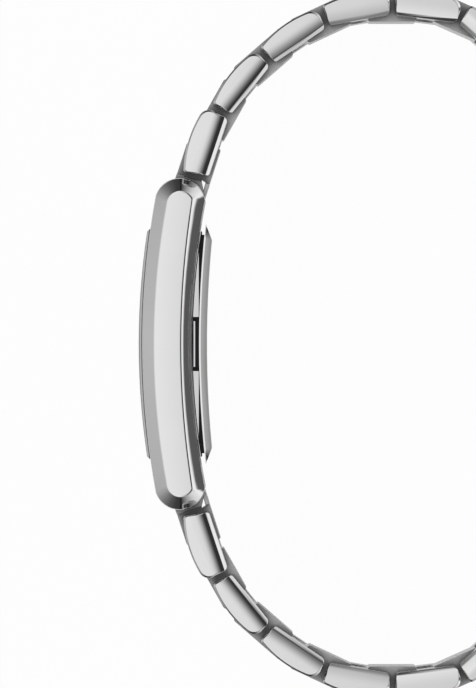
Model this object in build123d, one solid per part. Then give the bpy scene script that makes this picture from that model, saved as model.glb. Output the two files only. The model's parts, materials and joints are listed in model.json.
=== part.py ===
from build123d import *
import math
import os

# Lengths are in millimetres. X runs from the dial to the wrist, Y along the watch, Z across it.
# The watch lies on its crown side, which is the low Z side, and 12 o'clock is towards minus Y.
# Everything is built round the middle of the case, and moved to its resting place when written.

# Fits
running_gap = 0.05
seat_gap = 0.01
side_gap = 0.15
link_side_gap = 0.1
overrun = 1.0

# Case
case_length = 34.9
case_width = 19.4
front_height = 3.14
rear_height = 2.06
case_rear_radius = 73.0
rail_width = 2.1
rail_bevel = 1.0
rail_lip = 0.3
body_end_inset = 3.55
lug_pin_height = 1.7
lug_pin_inset = 1.9
lug_hole_wall = 1.2

# Outline of a rail's side: front, shoulder, tip, heel and rear, as shares of thickness and half length
rail_outer_shares = ((-0.604, 0), (-0.33, 0.895), (0.16, 1.0), (0.67, 0.865), (0.392, 0))
rail_lip_shares = ((-0.4385, 0), (-0.173, 0.858), (0.115, 0.9405), (0.506, 0.873), (0.27, 0))
rail_pad_shares = ((-0.3675, 0), (-0.106, 0.842), (0.096, 0.915), (0.41, 0.871), (0.175, 0))

# Crystal and dial
crystal_proud = 0.38
crystal_radius = 80.0
crystal_end_inset = 5.35
crystal_side_inset = 2.6
crystal_thickness = 1.0
crystal_edge = 0.25
crystal_gasket_thickness = 0.25
crystal_ledge = 0.45
crystal_fit = 0.05
dial_end_inset = 0.8
dial_side_inset = 0.5
dial_thickness = 0.4
dial_hole_radius = 0.95
hand_space = 1.42
marker_end_inset = 2.1
marker_side_inset = 1.6
marker_length = 1.7
marker_width = 0.45
marker_height = 0.12
marker_count = 12

# Hands
hand_thickness = 0.15
hand_gap = 0.25
hour_hand_length = 4.1
hand_end_gap = 0.5
hand_width = 0.9
hand_hub_rim = 0.35
hand_tip_share = 0.2
hour_at_rest = 10
minute_at_rest = 10

# Movement
cavity_end_inset = 1.2
cavity_side_inset = 0.6
ring_wall = 0.5
ring_depth = 1.9
plate_thickness = 0.9
recess_depth = 0.55
recess_gap = 0.2
wheel_thickness = 0.16
wheel_gap = 0.07
gear_module = 0.12
cannon_teeth = 10
minute_wheel_teeth = 30
minute_pinion_teeth = 8
hour_wheel_teeth = 32
arbor_radius = 0.2
pivot_radius = 0.15
cannon_radius = 0.4
pipe_wall = 0.3
centre_module = 0.1
centre_teeth = 40
rotor_teeth = 8
centre_wheel_height = 0.35
rotor_radius = 1.0
rotor_thickness = 0.45
bridge_height = 1.05
bridge_thickness = 0.35
bridge_post_radius = 0.35
battery_radius = 3.1
battery_thickness = 1.6
battery_offset = 5.6
battery_rim = 0.25
coil_radius = 0.8
coil_half_length = 3.8
coil_offset = 7.4
coil_end_radius = 0.95
coil_end_width = 0.5
board_thickness = 0.25
board_near = 3.9
board_far = 6.2
board_half_width = 4.9
chip_size = 1.6
chip_height = 0.4
tooth_root_share = 0.3
tooth_tip_share = 0.12
tooth_rise_share = 0.8
tooth_fall_share = 1.1

# Winding stem, setting lever and crown
stem_height = 0.35
stem_radius = 0.35
stem_neck_radius = 0.18
stem_inner_end = 2.6
groove_inner = 4.0
groove_outer = 4.4
stem_in_crown = 1.3
lever_thickness = 0.15
lever_reach = 2.6
lever_prong = 0.2
lever_foot = 0.7
crown_radius = 1.25
crown_recess = 0.08
crown_length = 1.87
crown_knurl_teeth = 24
crown_knurl_depth = 0.09
crown_cap_radius = 0.85
crown_dish_depth = 0.12
crown_notch_gap = 0.35

# Case back
back_gasket_thickness = 0.1
back_gasket_inset = 0.15
back_wall_height = 0.67
back_wall_end_inset = 0.6
back_wall_side_inset = 0.3
back_plate_thickness = 0.8
back_plate_radius = 115.0
back_end_inset = 4.85
back_side_inset = 1.4
back_slope_length = 1.6
back_edge_drop = 0.03
back_side_drop = 0.08
back_side_land = 0.12
back_groove_width = 0.03
back_groove_depth = 0.5
back_lip_wall = 0.4
back_lip_depth = 0.6
back_pocket_depth = 0.15
notch_half_length = 2.85
notch_depth = 0.45
notch_ridge_gap = 0.1
notch_ridge_width = 0.16
notch_ridge_half_length = 2.4
notch_ridge_inset = 0.15

# Bracelet
outer_pin_spacing = 4.8
centre_pin_spacing = 2.7
end_link_length = 3.45
bracelet_pin_radius = 0.5
centre_half_width = 4.4
pin_end_wall = 1.3
outer_half_length = 3.62
inner_half_length = 3.15
link_crown = 1.3
link_corner = 0.75
link_inner = 1.45
first_link_extra = 0.5
near_corner_radius = 0.3
far_outer_radius = 1.1
far_inner_radius = 0.5
pad_edge = 0.18
pad_edge_depth = 0.168
pad_soft_start = 0.1
pad_rim = 1.05
pad_soft_drop = 0.22
pad_rim_drop = 0.51
centre_half_length = 3.4
centre_outer = 1.2
centre_back = 1.9
centre_back_half_length = 2.4
centre_corner = 0.7
centre_round = 0.45
end_link_outer = 1.9
end_link_round = 0.7
end_link_back = 1.7
end_link_tongue = 2.3
end_barrel_radius = 1.45
end_wide_gap = 0.35
end_slot_shares = ((0.62, 0.44), (0.59, 0.74), (0.32, 0.78))
end_knuckle_radius = 1.15

# Direction of each link of a half bracelet, from the case to the clasp, in degrees from X
link_headings = (72, 71.5, 60.5, 51, 41, 34, 25, 10, 0, -7, -24, -42, -60, -76, -86)

# Spring bars
spring_bar_radius = 0.6
spring_tip_radius = 0.33
spring_tip_length = 1.0

# Clasp
clasp_side_inset = 0.8
clasp_skirt = 0.8
clasp_skirt_depth = 1.2
cover_inner = 0.55
cover_edge = 1.25
cover_crown = 1.65
clasp_knuckle_radius = 1.1
clasp_end_gap = 0.3
blade_side_inset = 2.3
blade_thickness = 0.6
middle_blade_level = 0.25
bottom_blade_level = 1.15
hinge_radius = 0.75
hinge_pin_radius = 0.35
hinge_inset = 3.6
hinge_centre_half_width = 2.9
cover_hinge_radius = 0.7
cover_hinge_level = 0.2
cover_block_length = 0.8
button_half_length = 2.6
button_top = 0.35
button_bottom = 0.75
button_proud = 0.5
button_flange = 0.4
button_offset = 1.0

rows = (len(link_headings) - 1) // 2

# Widths and lengths that follow the case
case_thickness = front_height + rear_height
half_case_width = case_width / 2
half_case_length = case_length / 2
rail_inner = half_case_width - rail_width
body_half_length = half_case_length - body_end_inset
crystal_half_length = half_case_length - crystal_end_inset
crystal_half_width = half_case_width - crystal_side_inset
dial_half_length = crystal_half_length - dial_end_inset
dial_half_width = crystal_half_width - dial_side_inset
marker_half_length = dial_half_length - marker_end_inset
marker_half_width = dial_half_width - marker_side_inset
cavity_half_length = dial_half_length - cavity_end_inset
cavity_half_width = dial_half_width - cavity_side_inset
back_plate_half_length = half_case_length - back_end_inset
back_plate_half_width = half_case_width - back_side_inset
back_flat_half_length = back_plate_half_length - back_slope_length
back_wall_half_length = back_plate_half_length - back_wall_end_inset
back_wall_half_width = back_plate_half_width - back_wall_side_inset
back_gasket_half_length = back_wall_half_length - back_gasket_inset
back_gasket_half_width = back_wall_half_width - back_gasket_inset
clasp_half_width = half_case_width - clasp_side_inset
blade_half_width = clasp_half_width - blade_side_inset


def block(x_span, y_span, z_span):
    """Box between two places on each axis."""
    spans = (x_span, y_span, z_span)
    centre = [sum(span) / 2 for span in spans]
    sides = [max(span) - min(span) for span in spans]
    return Pos(*centre) * Box(*sides)


def rod(radius, place, z_span):
    """Cylinder along Z through a place in the side view."""
    length = max(z_span) - min(z_span)
    return Pos(place[0], place[1], sum(z_span) / 2) * Cylinder(radius, length)


def disc(radius, x_span, y=0, z=0):
    """Cylinder along X."""
    return Pos(sum(x_span) / 2, y, z) * Rot(0, 90, 0) * Cylinder(radius, x_span[1] - x_span[0])


def both_sides(shape):
    """A piece and its copy on the other side of the watch, as separate solids."""
    return [shape, mirror(shape, about=Plane.XY)]


def arch_x(middle_x, radius, y):
    """Place of an arched face at y, when its middle is at middle_x."""
    return middle_x + radius - math.sqrt(radius**2 - y**2)


def arch(middle_x, radius, half_length):
    """Arc of an arched face in the side view."""
    end_x = arch_x(middle_x, radius, half_length)
    return ThreePointArc((end_x, -half_length), (middle_x, 0), (end_x, half_length))


def arched_slab(front, rear, half_length, half_width):
    """Solid between two arched faces, each given as its middle and its radius."""
    front_arc = arch(*front, half_length)
    rear_arc = arch(*rear, half_length)
    upper = Line(front_arc @ 1, rear_arc @ 1)
    lower = Line(front_arc @ 0, rear_arc @ 0)
    return extrude(make_face(front_arc + upper + rear_arc + lower), half_width, both=True)


def gear_face(teeth, module):
    """Flat outline of a gear with loose straight teeth, a tooth lying along its X axis."""
    tip = module * (teeth / 2 + tooth_rise_share)
    root = module * (teeth / 2 - tooth_fall_share)
    pitch = 2 * math.pi / teeth
    points = []
    for tooth in range(teeth):
        for radius, share in (
            (root, -tooth_root_share),
            (tip, -tooth_tip_share),
            (tip, tooth_tip_share),
            (root, tooth_root_share),
        ):
            angle = pitch * (tooth + share)
            points.append((radius * math.cos(angle), radius * math.sin(angle)))
    return make_face(Polyline(*points, close=True))


def gear(teeth, module, x_span, y=0, z=0, turn=0):
    """Gear on an axis along X, turned by so many degrees from a tooth lying along Y."""
    plane = Plane(origin=(x_span[0], y, z), x_dir=(0, 1, 0), z_dir=(1, 0, 0))
    return extrude(plane * Rot(0, 0, turn) * gear_face(teeth, module), x_span[1] - x_span[0])


# Levels from the crystal inwards
crystal_front = -front_height - crystal_proud
crystal_inner = crystal_front + crystal_thickness
crystal_inner_radius = crystal_radius - crystal_thickness
dial_front = crystal_inner + hand_space
dial_rear = dial_front + dial_thickness
plate_rear = dial_rear + plate_thickness
back_inner = rear_height + back_gasket_thickness
back_plate_front = back_inner + back_wall_height
back_outer = back_plate_front + back_plate_thickness
hour_hand_front = dial_front - marker_height - hand_gap - hand_thickness
minute_hand_front = hour_hand_front - hand_gap - hand_thickness
minute_hand_length = dial_half_width - hand_end_gap
hour_wheel_front = dial_rear + wheel_gap
minute_wheel_front = hour_wheel_front + wheel_thickness + wheel_gap
centre_wheel_front = plate_rear + centre_wheel_height
bridge_front = plate_rear + bridge_height
wheel_distance = gear_module * (cannon_teeth + minute_wheel_teeth) / 2
rotor_distance = centre_module * (centre_teeth + rotor_teeth) / 2
lug_pin = (lug_pin_height, half_case_length - lug_pin_inset)
crown_outer = half_case_width - crown_recess
crown_inner = crown_outer - crown_length
crown_floor = crown_inner - running_gap
stem_x = dial_rear + plate_thickness / 2 + stem_height


def rail_face(shares):
    """Side outline of a rail, of four arcs, symmetric end to end."""
    points = [(x * case_thickness, y * half_case_length) for x, y in shares]
    front, shoulder, tip, heel, rear = points
    low_shoulder, low_tip, low_heel = [(x, -y) for x, y in (shoulder, tip, heel)]
    outline = ThreePointArc(low_shoulder, front, shoulder)
    outline += ThreePointArc(shoulder, tip, heel)
    outline += ThreePointArc(heel, rear, low_heel)
    outline += ThreePointArc(low_heel, low_tip, low_shoulder)
    return make_face(outline)


def make_case_middle():
    """Case with its two side rails, whose ends are the lugs."""
    side = half_case_width - rail_bevel
    outer = rail_face(rail_outer_shares)
    case = extrude(outer, side, both=True)
    sections = [
        Pos(0, 0, side) * outer,
        Pos(0, 0, half_case_width - rail_lip) * rail_face(rail_lip_shares),
        Pos(0, 0, half_case_width) * rail_face(rail_pad_shares),
    ]
    flank = loft(sections, ruled=True)
    case = case + flank + mirror(flank, about=Plane.XY)
    across = (-rail_inner, rail_inner)
    through = (crystal_front - overrun, back_outer + overrun)
    end_span = (body_half_length, half_case_length + overrun)
    for y_span in (end_span, (-end_span[1], -end_span[0])):
        case -= block(through, y_span, across)
    rebate_floor = (crystal_inner + crystal_gasket_thickness, crystal_inner_radius)
    rebate_front = (crystal_front - overrun, crystal_radius)
    case -= arched_slab(
        rebate_front,
        rebate_floor,
        crystal_half_length + crystal_fit,
        crystal_half_width + crystal_fit,
    )
    dial_well = (dial_half_length + crystal_fit, dial_half_width + crystal_fit)
    case -= block(
        (crystal_front, dial_rear),
        (-dial_well[0], dial_well[0]),
        (-dial_well[1], dial_well[1]),
    )
    case -= block(
        (dial_rear - seat_gap, through[1]),
        (-cavity_half_length, cavity_half_length),
        (-cavity_half_width, cavity_half_width),
    )
    hole_end = rail_inner + lug_hole_wall
    for y in (lug_pin[1], -lug_pin[1]):
        case -= rod(spring_tip_radius + running_gap, (lug_pin[0], y), (-hole_end, hole_end))
    notch = crown_radius + crown_notch_gap
    case -= block(through, (-notch, notch), (-half_case_width - overrun, -crown_floor))
    case -= rod(stem_radius + running_gap, (stem_x, 0), (-half_case_width, -cavity_half_width + seat_gap))
    return case


def make_crystal():
    """Arched crystal with softened front edges."""
    front = (crystal_front, crystal_radius)
    rear = (crystal_inner, crystal_inner_radius)
    crystal = arched_slab(front, rear, crystal_half_length, crystal_half_width)
    front_face = crystal.faces().sort_by(Axis.X)[0]
    return chamfer(front_face.edges(), crystal_edge)


def make_crystal_gasket():
    """Frame that the crystal is pressed down on."""
    front = (crystal_inner, crystal_inner_radius)
    rear = (crystal_inner + crystal_gasket_thickness, crystal_inner_radius)
    gasket = arched_slab(front, rear, crystal_half_length, crystal_half_width)
    window_y = crystal_half_length - crystal_ledge
    window_z = crystal_half_width - crystal_ledge
    return gasket - block(
        (crystal_front, back_outer), (-window_y, window_y), (-window_z, window_z)
    )


def make_dial():
    """Flat dial with the hole for the hands."""
    dial = block(
        (dial_front, dial_rear),
        (-dial_half_length, dial_half_length),
        (-dial_half_width, dial_half_width),
    )
    return dial - disc(dial_hole_radius, (dial_front - overrun, dial_rear + overrun))


def make_hour_markers():
    """One raised baton for each hour, on a rectangle."""
    markers = []
    for hour in range(marker_count):
        angle = 2 * math.pi * hour / marker_count
        y_way = -math.cos(angle)
        z_way = -math.sin(angle)
        reach = min(
            marker_half_length / max(abs(y_way), seat_gap / marker_half_length),
            marker_half_width / max(abs(z_way), seat_gap / marker_half_width),
        )
        baton = Pos(dial_front - marker_height / 2, reach * y_way, reach * z_way)
        baton = baton * Rot(math.degrees(math.atan2(z_way, y_way)), 0, 0)
        markers.append(baton * Box(marker_height, marker_length, marker_width))
    return markers


def make_hand(front, length, hole_radius, clock_angle):
    """Tapered hand with a round hub, pointing at a clock angle in degrees."""
    plane = Plane(origin=(front, 0, 0), x_dir=(0, 1, 0), z_dir=(1, 0, 0))
    half = hand_width / 2
    tip = half * hand_tip_share
    blade = make_face(Polyline((0, -half), (length, -tip), (length, tip), (0, half), close=True))
    hub_radius = hole_radius + hand_hub_rim
    face = blade + Circle(hub_radius) - Circle(hole_radius + seat_gap)
    return extrude(plane * Rot(0, 0, clock_angle + 180) * face, hand_thickness)


def make_centre_wheel():
    """Arbor with the cannon pinion and tube for the minute hand, and the driven wheel behind."""
    cannon_span = (minute_wheel_front, minute_wheel_front + wheel_thickness)
    wheel = gear(cannon_teeth, gear_module, cannon_span, turn=90)
    wheel += disc(cannon_radius, (minute_hand_front, cannon_span[1]))
    wheel += disc(arbor_radius, (cannon_span[1] - seat_gap, bridge_front - wheel_gap))
    wheel += disc(pivot_radius, (bridge_front - wheel_gap - seat_gap, bridge_front + bridge_thickness))
    driven_span = (centre_wheel_front, centre_wheel_front + wheel_thickness)
    wheel += gear(centre_teeth, centre_module, driven_span, turn=180)
    return wheel


def make_hour_wheel():
    """Hour wheel and its pipe, which turns round the cannon tube."""
    pipe_radius = cannon_radius + running_gap + pipe_wall
    span = (hour_wheel_front, hour_wheel_front + wheel_thickness)
    wheel = gear(hour_wheel_teeth, gear_module, span, turn=90)
    wheel += disc(pipe_radius, (hour_hand_front, span[1]))
    return wheel - disc(cannon_radius + running_gap, (hour_hand_front - overrun, span[1] + seat_gap))


def make_minute_wheel():
    """Minute wheel and pinion, which step the cannon pinion down to the hour wheel."""
    wheel_span = (minute_wheel_front, minute_wheel_front + wheel_thickness)
    pinion_span = (hour_wheel_front, minute_wheel_front + seat_gap)
    wheel_turn = -90 + 180 / minute_wheel_teeth
    pinion_turn = -90 + 180 / minute_pinion_teeth
    wheel = gear(minute_wheel_teeth, gear_module, wheel_span, 0, wheel_distance, wheel_turn)
    wheel += gear(minute_pinion_teeth, gear_module, pinion_span, 0, wheel_distance, pinion_turn)
    through = (dial_rear, plate_rear)
    return wheel - disc(arbor_radius + running_gap, through, 0, wheel_distance)


def make_main_plate():
    """Main plate, recessed for the wheels under the dial and slotted for the stem."""
    half_length = cavity_half_length - ring_wall - running_gap
    half_width = cavity_half_width - ring_wall - running_gap
    floor = dial_rear + recess_depth
    plate = block((dial_rear, plate_rear), (-half_length, half_length), (-half_width, half_width))
    wheel_recess = gear_module * (hour_wheel_teeth / 2 + 1) + recess_gap
    recess_span = (dial_rear - overrun, floor)
    plate -= disc(wheel_recess, recess_span)
    plate -= disc(wheel_recess, recess_span, 0, wheel_distance)
    plate += disc(arbor_radius, (dial_rear + wheel_gap, floor + seat_gap), 0, wheel_distance)
    plate -= disc(arbor_radius + running_gap, (dial_rear, plate_rear + overrun))
    rotor_seat = (plate_rear - recess_gap, plate_rear + overrun)
    plate -= disc(pivot_radius + running_gap, rotor_seat, -rotor_distance)
    slot = stem_radius + side_gap
    slot_end = stem_inner_end - side_gap
    return plate - block(
        (dial_rear - overrun, plate_rear + overrun), (-slot, slot), (-half_width - overrun, -slot_end)
    )


def make_train_bridge():
    """Bridge on three posts that holds the rear pivots."""
    span = (bridge_front, bridge_front + bridge_thickness)
    wheel_radius = centre_module * (centre_teeth / 2 + 1)
    near = wheel_radius / 2
    far = rotor_distance + rotor_radius
    low = wheel_radius
    high = wheel_radius + 2 * bridge_post_radius
    bridge = block(span, (-far - bridge_post_radius, near), (-low, high + bridge_post_radius))
    posts = ((-far, high), (near - bridge_post_radius, high), (-far, bridge_post_radius - low))
    for y, z in posts:
        bridge += disc(bridge_post_radius, (plate_rear, bridge_front + seat_gap), y, z)
    for y in (0, -rotor_distance):
        bridge -= disc(pivot_radius + running_gap, (span[0] - overrun, span[1] + overrun), y)
    return bridge


def make_rotor():
    """Motor rotor with its pinion in mesh with the centre wheel."""
    y = -rotor_distance
    magnet_end = plate_rear + wheel_gap + rotor_thickness
    pinion_span = (centre_wheel_front, centre_wheel_front + wheel_thickness)
    magnet_span = (plate_rear + wheel_gap, centre_wheel_front - wheel_gap)
    rotor = disc(rotor_radius, (magnet_span[0], min(magnet_end, magnet_span[1])), y)
    rotor += gear(rotor_teeth, centre_module, pinion_span, y, 0, 180 / rotor_teeth)
    pivots = (plate_rear - recess_gap + seat_gap, bridge_front + bridge_thickness)
    return rotor + disc(pivot_radius, pivots, y)


def make_battery():
    """Button cell with its stepped can."""
    span = (plate_rear + running_gap, plate_rear + running_gap + battery_thickness)
    step = span[0] + battery_rim
    battery = disc(battery_radius, (step, span[1]), battery_offset)
    return battery + disc(battery_radius - battery_rim, (span[0], step + seat_gap), battery_offset)


def make_coil():
    """Motor coil between its two end cheeks."""
    x = plate_rear + running_gap + coil_end_radius
    place = (x, -coil_offset)
    coil = rod(coil_radius, place, (-coil_half_length, coil_half_length))
    for side in (-1, 1):
        cheek = (side * coil_half_length, side * (coil_half_length - coil_end_width))
        coil += rod(coil_end_radius, place, cheek)
    return coil


def make_circuit_board():
    """Circuit board with its chip."""
    span = (plate_rear + running_gap, plate_rear + running_gap + board_thickness)
    board = block(span, (-board_far, -board_near), (-board_half_width, board_half_width))
    middle = -(board_far + board_near) / 2
    half = chip_size / 2
    chip_span = (span[1] - seat_gap, span[1] + chip_height)
    return board + block(chip_span, (middle - half, middle + half), (half, half + chip_size))


def make_movement_ring():
    """Plastic frame that holds the movement in the case."""
    outer = (cavity_half_length - seat_gap, cavity_half_width - seat_gap)
    inner = (cavity_half_length - ring_wall, cavity_half_width - ring_wall)
    span = (dial_rear + seat_gap, dial_rear + ring_depth)
    ring = block(span, (-outer[0], outer[0]), (-outer[1], outer[1]))
    ring -= block(
        (span[0] - overrun, span[1] + overrun), (-inner[0], inner[0]), (-inner[1], inner[1])
    )
    slot = stem_radius + side_gap
    return ring - block((span[0] - overrun, span[1] + overrun), (-slot, slot), (-outer[1] - overrun, 0))


def make_winding_stem():
    """Stem with the groove that the setting lever holds."""
    place = (stem_x, 0)
    stem = rod(stem_radius, place, (-crown_inner - stem_in_crown, -groove_outer))
    stem += rod(stem_neck_radius, place, (-groove_outer - seat_gap, -groove_inner + seat_gap))
    return stem + rod(stem_radius, place, (-groove_inner, -stem_inner_end))


def make_setting_lever():
    """Lever whose fork rides in the groove of the stem and whose foot slides on the main plate."""
    top = stem_x + stem_radius + side_gap
    inner = stem_neck_radius + running_gap
    outer = inner + lever_prong
    middle = -(groove_inner + groove_outer) / 2
    half_prong = (groove_outer - groove_inner) / 2 - running_gap
    lever = block(
        (top, top + lever_thickness),
        (-outer, lever_reach),
        (middle - 2 * half_prong, middle + 2 * half_prong),
    )
    for side in (-1, 1):
        lever += block(
            (stem_x - stem_radius, top + seat_gap),
            (side * inner, side * outer),
            (middle - half_prong, middle + half_prong),
        )
    return lever + block(
        (plate_rear + running_gap, top + seat_gap),
        (lever_reach - lever_foot, lever_reach),
        (middle - 2 * half_prong, middle + 2 * half_prong),
    )


def make_crown():
    """Knurled crown that lies inside the notch of the rail."""
    module = crown_radius / (crown_knurl_teeth / 2 + tooth_rise_share)
    face = gear_face(crown_knurl_teeth, module) + Circle(crown_radius - crown_knurl_depth)
    crown = extrude(Pos(stem_x, 0, -crown_outer) * face, crown_length)
    crown -= rod(crown_cap_radius, (stem_x, 0), (-crown_outer, -crown_outer + crown_dish_depth))
    bore = (-crown_inner - stem_in_crown - seat_gap, -crown_inner + overrun)
    return crown - rod(stem_radius + seat_gap, (stem_x, 0), bore)


def back_plate_face(thickness):
    """Side outline of the plate of the case back, with sloping ends."""
    front_arc = arch(back_plate_front, back_plate_radius, back_plate_half_length)
    outer_arc = arch(back_plate_front + thickness, back_plate_radius, back_flat_half_length)
    end_x = arch_x(back_plate_front, back_plate_radius, back_plate_half_length) + back_edge_drop
    outline = front_arc + outer_arc
    for side, y in ((0, -back_plate_half_length), (1, back_plate_half_length)):
        outline += Line(front_arc @ side, (end_x, y))
        outline += Line((end_x, y), outer_arc @ side)
    return make_face(outline)


def make_case_back():
    """Shallow case back: a wall that follows the case, a neck that widens to its ends, and a plate."""
    wall = arched_slab(
        (back_inner, case_rear_radius - back_gasket_thickness),
        (back_plate_front + seat_gap, back_plate_radius),
        back_wall_half_length,
        back_wall_half_width,
    )
    groove = block(
        (back_plate_front - back_groove_width, back_outer),
        (-back_plate_half_length, back_plate_half_length),
        (-back_plate_half_width, back_plate_half_width),
    )
    groove_core = (back_wall_half_length - back_groove_depth, back_wall_half_width - back_groove_depth)
    groove -= block(
        (back_inner, back_outer), (-groove_core[0], groove_core[0]), (-groove_core[1], groove_core[1])
    )
    full_z = back_plate_half_width - back_side_drop
    full_face = back_plate_face(back_plate_thickness)
    plate = extrude(full_face, full_z, both=True)
    side = loft(
        [
            Pos(0, 0, full_z) * full_face,
            Pos(0, 0, back_plate_half_width) * back_plate_face(back_side_land),
        ],
        ruled=True,
    )
    plate = plate + side + mirror(side, about=Plane.XY)
    lip_outer = (cavity_half_length - running_gap, cavity_half_width - running_gap)
    lip_inner = (lip_outer[0] - back_lip_wall, lip_outer[1] - back_lip_wall)
    lip = block(
        (rear_height - back_lip_depth, back_plate_front + seat_gap),
        (-lip_outer[0], lip_outer[0]),
        (-lip_outer[1], lip_outer[1]),
    )
    back = (wall - groove) + plate + lip
    back -= block(
        (rear_height - overrun, back_plate_front + back_pocket_depth),
        (-lip_inner[0], lip_inner[0]),
        (-lip_inner[1], lip_inner[1]),
    )
    notch_z = back_wall_half_width - notch_depth
    for z_span in ((notch_z, half_case_width), (-half_case_width, -notch_z)):
        back -= block(
            (back_inner - overrun, back_plate_front), (-notch_half_length, notch_half_length), z_span
        )
    ridge_x = back_inner + notch_ridge_gap
    ridge_z = back_wall_half_width - notch_ridge_inset
    for z_span in ((notch_z, ridge_z), (-ridge_z, -notch_z)):
        back += block(
            (ridge_x, ridge_x + notch_ridge_width),
            (-notch_ridge_half_length, notch_ridge_half_length),
            z_span,
        )
    return back


def make_back_gasket():
    """Thin frame between the case and the case back."""
    gasket = arched_slab(
        (rear_height, case_rear_radius),
        (back_inner, case_rear_radius - back_gasket_thickness),
        back_gasket_half_length,
        back_gasket_half_width,
    )
    return gasket - block(
        (crystal_front, back_outer),
        (-cavity_half_length, cavity_half_length),
        (-cavity_half_width, cavity_half_width),
    )


def spring_bar(place, half_length, tip_length):
    """Spring bar: a tube with a thinner tip at each end."""
    bar = rod(spring_bar_radius, place, (-half_length, half_length))
    if tip_length > 0:
        tip_end = half_length + tip_length
        bar += rod(spring_tip_radius, place, (-tip_end, tip_end))
    return bar


def chain_pins():
    """Places of the pins of one half bracelet, from the lugs to the clasp."""
    pins = [lug_pin]
    for number, heading in enumerate(link_headings):
        if number == 0:
            length = end_link_length
        elif number % 2:
            length = outer_pin_spacing
        else:
            length = centre_pin_spacing
        angle = math.radians(heading)
        last = pins[-1]
        pins.append((last[0] + length * math.cos(angle), last[1] + length * math.sin(angle)))
    return pins


pins = chain_pins()
clasp_x, clasp_y = pins[-1]


def link_place(number):
    """Place of a link: the middle between its pins, with its X along the bracelet."""
    first = pins[number]
    second = pins[number + 1]
    middle = Pos((first[0] + second[0]) / 2, (first[1] + second[1]) / 2, 0)
    return middle * Rot(0, 0, link_headings[number])


def round_corner(face, place, radius):
    """Round the corner of a flat outline that lies nearest to a place."""
    corner = min(face.vertices(), key=lambda vertex: (vertex.center() - Vector(*place)).length)
    return fillet(corner, radius)


def outer_link_face(inset, extra):
    """Side outline of an outer link, arched outside and rounded most at its far outer corner."""
    outer_half = outer_half_length - inset
    inner_half = inner_half_length - inset
    corner = link_corner + extra - inset
    crown = link_crown + extra - inset
    inner = -link_inner
    outline = ThreePointArc((-outer_half, corner), (0, crown), (outer_half, corner))
    outline += Polyline(
        (outer_half, corner), (inner_half, inner), (-inner_half, inner), (-outer_half, corner)
    )
    face = make_face(outline)
    face = round_corner(face, (outer_half, corner), far_outer_radius)
    face = round_corner(face, (inner_half, inner), far_inner_radius)
    face = round_corner(face, (-outer_half, corner), near_corner_radius)
    return round_corner(face, (-inner_half, inner), near_corner_radius)


def outer_link_section():
    """Section of an outer link: flat pad, softly falling away to a bevelled inner rim."""
    top = half_case_width
    inner = centre_half_width + link_side_gap
    wide = link_crown + first_link_extra + overrun
    soft_radius = ((pad_rim + pad_soft_start) ** 2 + pad_soft_drop**2) / (2 * pad_soft_drop)
    half_way = (pad_soft_start + pad_rim) / 2
    soft_depth = soft_radius - math.sqrt(soft_radius**2 - half_way**2)
    soft_middle = (pad_soft_start - half_way, top - soft_depth)
    outline = Polyline((-link_inner, inner), (wide, inner), (wide, top), (pad_soft_start, top))
    outline += ThreePointArc((pad_soft_start, top), soft_middle, (-pad_rim, top - pad_soft_drop))
    outline += Polyline((-pad_rim, top - pad_soft_drop), (-link_inner, top - pad_rim_drop))
    outline += Line((-link_inner, top - pad_rim_drop), (-link_inner, inner))
    return extrude(Plane.YZ * make_face(outline), outer_half_length + overrun, both=True)


def make_outer_plate(extra):
    """One outer link, with its blind pin holes."""
    body = outer_link_face(0, extra)
    pad = outer_link_face(pad_edge, extra)
    bottom = centre_half_width + link_side_gap
    shoulder = half_case_width - pad_edge_depth
    plate = extrude(Pos(0, 0, bottom) * body, shoulder - bottom)
    plate += loft([Pos(0, 0, shoulder) * body, Pos(0, 0, half_case_width) * pad], ruled=True)
    plate = plate & outer_link_section()
    for side in (-1, 1):
        place = (side * outer_pin_spacing / 2, 0)
        plate -= rod(bracelet_pin_radius + seat_gap, place, (0, half_case_width - pin_end_wall))
    return plate


def make_outer_row(number, extra):
    """The two outer links of a row, with the two pins that join them."""
    solids = both_sides(make_outer_plate(extra))
    pin_end = half_case_width - pin_end_wall - seat_gap
    for side in (-1, 1):
        place = (side * outer_pin_spacing / 2, 0)
        solids.append(rod(bracelet_pin_radius, place, (-pin_end, pin_end)))
    return [link_place(number) * solid for solid in solids]


def centre_link_face():
    """Side outline of a centre link, with its flat back towards the wrist."""
    half = centre_half_length
    back = -centre_back
    outline = Polyline(
        (-half, centre_outer),
        (half, centre_outer),
        (half, -centre_corner),
        (centre_back_half_length, back),
        (-centre_back_half_length, back),
        (-half, -centre_corner),
        close=True,
    )
    face = make_face(outline)
    face = round_corner(face, (half, centre_outer), centre_round)
    return round_corner(face, (-half, centre_outer), centre_round)


def make_centre_link(number):
    """Centre link; the last one ends in a knuckle for the clasp."""
    half_spacing = centre_pin_spacing / 2
    face = centre_link_face()
    if number == len(link_headings) - 1:
        half = centre_half_length
        face -= Pos(half_spacing + half / 2, 0) * Rectangle(half, 2 * half)
        face += Pos(half_spacing, 0) * Circle(end_knuckle_radius)
    link = extrude(face, centre_half_width, both=True)
    for side in (-1, 1):
        radius = bracelet_pin_radius + running_gap
        if side > 0 and number == len(link_headings) - 1:
            radius = spring_bar_radius + running_gap
        link -= rod(radius, (side * half_spacing, 0), (-half_case_width, half_case_width))
    return link_place(number) * link


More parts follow.
